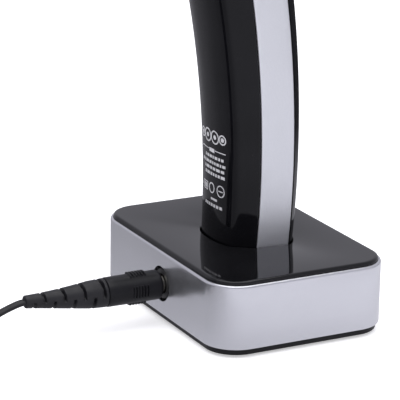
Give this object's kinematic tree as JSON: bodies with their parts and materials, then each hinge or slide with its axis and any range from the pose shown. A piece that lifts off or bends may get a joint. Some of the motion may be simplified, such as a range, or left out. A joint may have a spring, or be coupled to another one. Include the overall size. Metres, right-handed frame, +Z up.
{
  "type": "cordless beard trimmer",
  "caption": "Cordless beard trimmer with a bent handle, side strips, length dial and guide comb, docked in a weighted charging stand with its plug-in lead and wall adapter.",
  "frame": {"origin": "on the table under the middle of the charging stand", "axes": "+Z up; +X along the stand's long side; the trimmer's front faces -Y and the lead leaves towards +Y"},
  "size_m": [0.0855, 0.2474, 0.16],
  "materials": {
    "gloss_black": "piano-black gloss",
    "satin_black": "fine moulded texture",
    "rubber_black": "matte soft PVC",
    "satin_silver": "fine satin silver paint",
    "steel": "ground",
    "dark_steel": "oiled",
    "nickel": "nickel plate",
    "brass": "gold-plated contact",
    "circuit_board": "solder-masked board",
    "grey_plastic": "unpolished moulding",
    "white_plastic": "acetal",
    "battery_sleeve": "shrink sleeve",
    "clear_lens": "clear light pipe",
    "wire_red": "wire insulation"
  },
  "bodies": {
    "stand": {"base_tray": "satin_black", "silver_band": "satin_silver", "top_plate": "gloss_black", "ballast_plate": "dark_steel", "rubber_foot_left": "rubber_black", "rubber_foot_right": "rubber_black", "stand_screw_left": "steel", "stand_screw_right": "steel", "dc_jack": "satin_black", "contact_board": "circuit_board", "contact_carrier": "white_plastic", "contact_spring_left": "steel", "contact_spring_right": "steel", "stand_wires": "wire_red"},
    "contact_left": {"contact_pin_left": "brass"},
    "contact_right": {"contact_pin_right": "brass"},
    "trimmer": {"rear_shell": "gloss_black", "front_shell": "gloss_black", "side_strip_left": "satin_silver", "side_strip_right": "satin_silver", "bottom_cap": "satin_black", "bottom_cap_screw": "steel", "charge_pad_left": "nickel", "charge_pad_right": "nickel", "battery_cell_left": "battery_sleeve", "battery_cell_right": "battery_sleeve", "battery_link": "nickel", "internal_frame": "grey_plastic", "main_board": "circuit_board", "slide_switch": "grey_plastic", "charge_led_lens": "clear_lens", "motor_wires": "wire_red", "motor": "steel", "head_collar": "gloss_black", "collar_screw_left": "steel", "collar_screw_right": "steel", "head_housing": "satin_black", "fixed_blade": "steel", "blade_screw_left": "steel", "blade_screw_right": "steel", "dial_axle": "steel"},
    "power_switch": {"power_switch_button": "satin_black"},
    "dial": {"length_dial": "satin_black"},
    "carriage": {"comb_carriage": "grey_plastic"},
    "comb": {"guide_comb": "satin_black"},
    "rotor": {"eccentric_shaft": "dark_steel"},
    "cutter": {"moving_blade": "dark_steel", "cutter_yoke": "white_plastic"},
    "lead": {"plug_barrel": "nickel", "plug_body": "rubber_black", "plug_strain_relief": "rubber_black", "cord_to_coil": "rubber_black", "cord_coil": "rubber_black", "cord_tie": "satin_black", "cord_to_adapter": "rubber_black", "adapter_strain_relief": "rubber_black", "adapter_case": "satin_black", "adapter_pin_cover": "satin_black", "adapter_pins": "nickel", "adapter_transformer": "dark_steel"}
  },
  "joints": [
    {"name": "trimmer_lift", "type": "slide", "parent": "stand", "child": "trimmer", "axis": [0, 0, 1], "range_m": [0, 0.04]},
    {"name": "lead_unplug", "type": "slide", "parent": "stand", "child": "lead", "axis": [0, 1, 0], "range_m": [0, 0.012]},
    {"name": "contact_pin_left_press", "type": "slide", "parent": "stand", "child": "contact_left", "axis": [0, 0, 1], "range_m": [-0.0008, 0], "stiffness_N_per_m": 200, "springref_m": 0.001, "deforming": ["contact_spring_left"]},
    {"name": "contact_pin_right_press", "type": "slide", "parent": "stand", "child": "contact_right", "axis": [0, 0, 1], "range_m": [-0.0008, 0], "stiffness_N_per_m": 200, "springref_m": 0.001, "deforming": ["contact_spring_right"]},
    {"name": "power_switch_slide", "type": "slide", "parent": "trimmer", "child": "power_switch", "axis": [0, 0.1068, 0.9943], "range_m": [0, 0.003]},
    {"name": "length_dial_turn", "type": "hinge", "parent": "trimmer", "child": "dial", "pos_m": [0, -0.00418, 0.11378], "axis": [1, 0, 0], "range_deg": [0, 229.3]},
    {"name": "comb_adjust", "type": "slide", "parent": "trimmer", "child": "carriage", "axis": [0, 0.215, 0.9766], "range_m": [0, 0.01]},
    {"name": "comb_pull_off", "type": "slide", "parent": "carriage", "child": "comb", "axis": [0, 0.215, 0.9766], "range_m": [0, 0.04]},
    {"name": "motor_spin", "type": "hinge", "parent": "trimmer", "child": "rotor", "pos_m": [0, 0.01327, 0.12837], "axis": [0, 0.215, 0.9766], "continuous": true},
    {"name": "cutter_stroke", "type": "slide", "parent": "trimmer", "child": "cutter", "axis": [1, 0, 0], "range_m": [-0.001, 0.001]}
  ],
  "couplings": [
    {"joint": "length_dial_turn", "follows": "comb_adjust", "rad_per_m": 400}
  ]
}
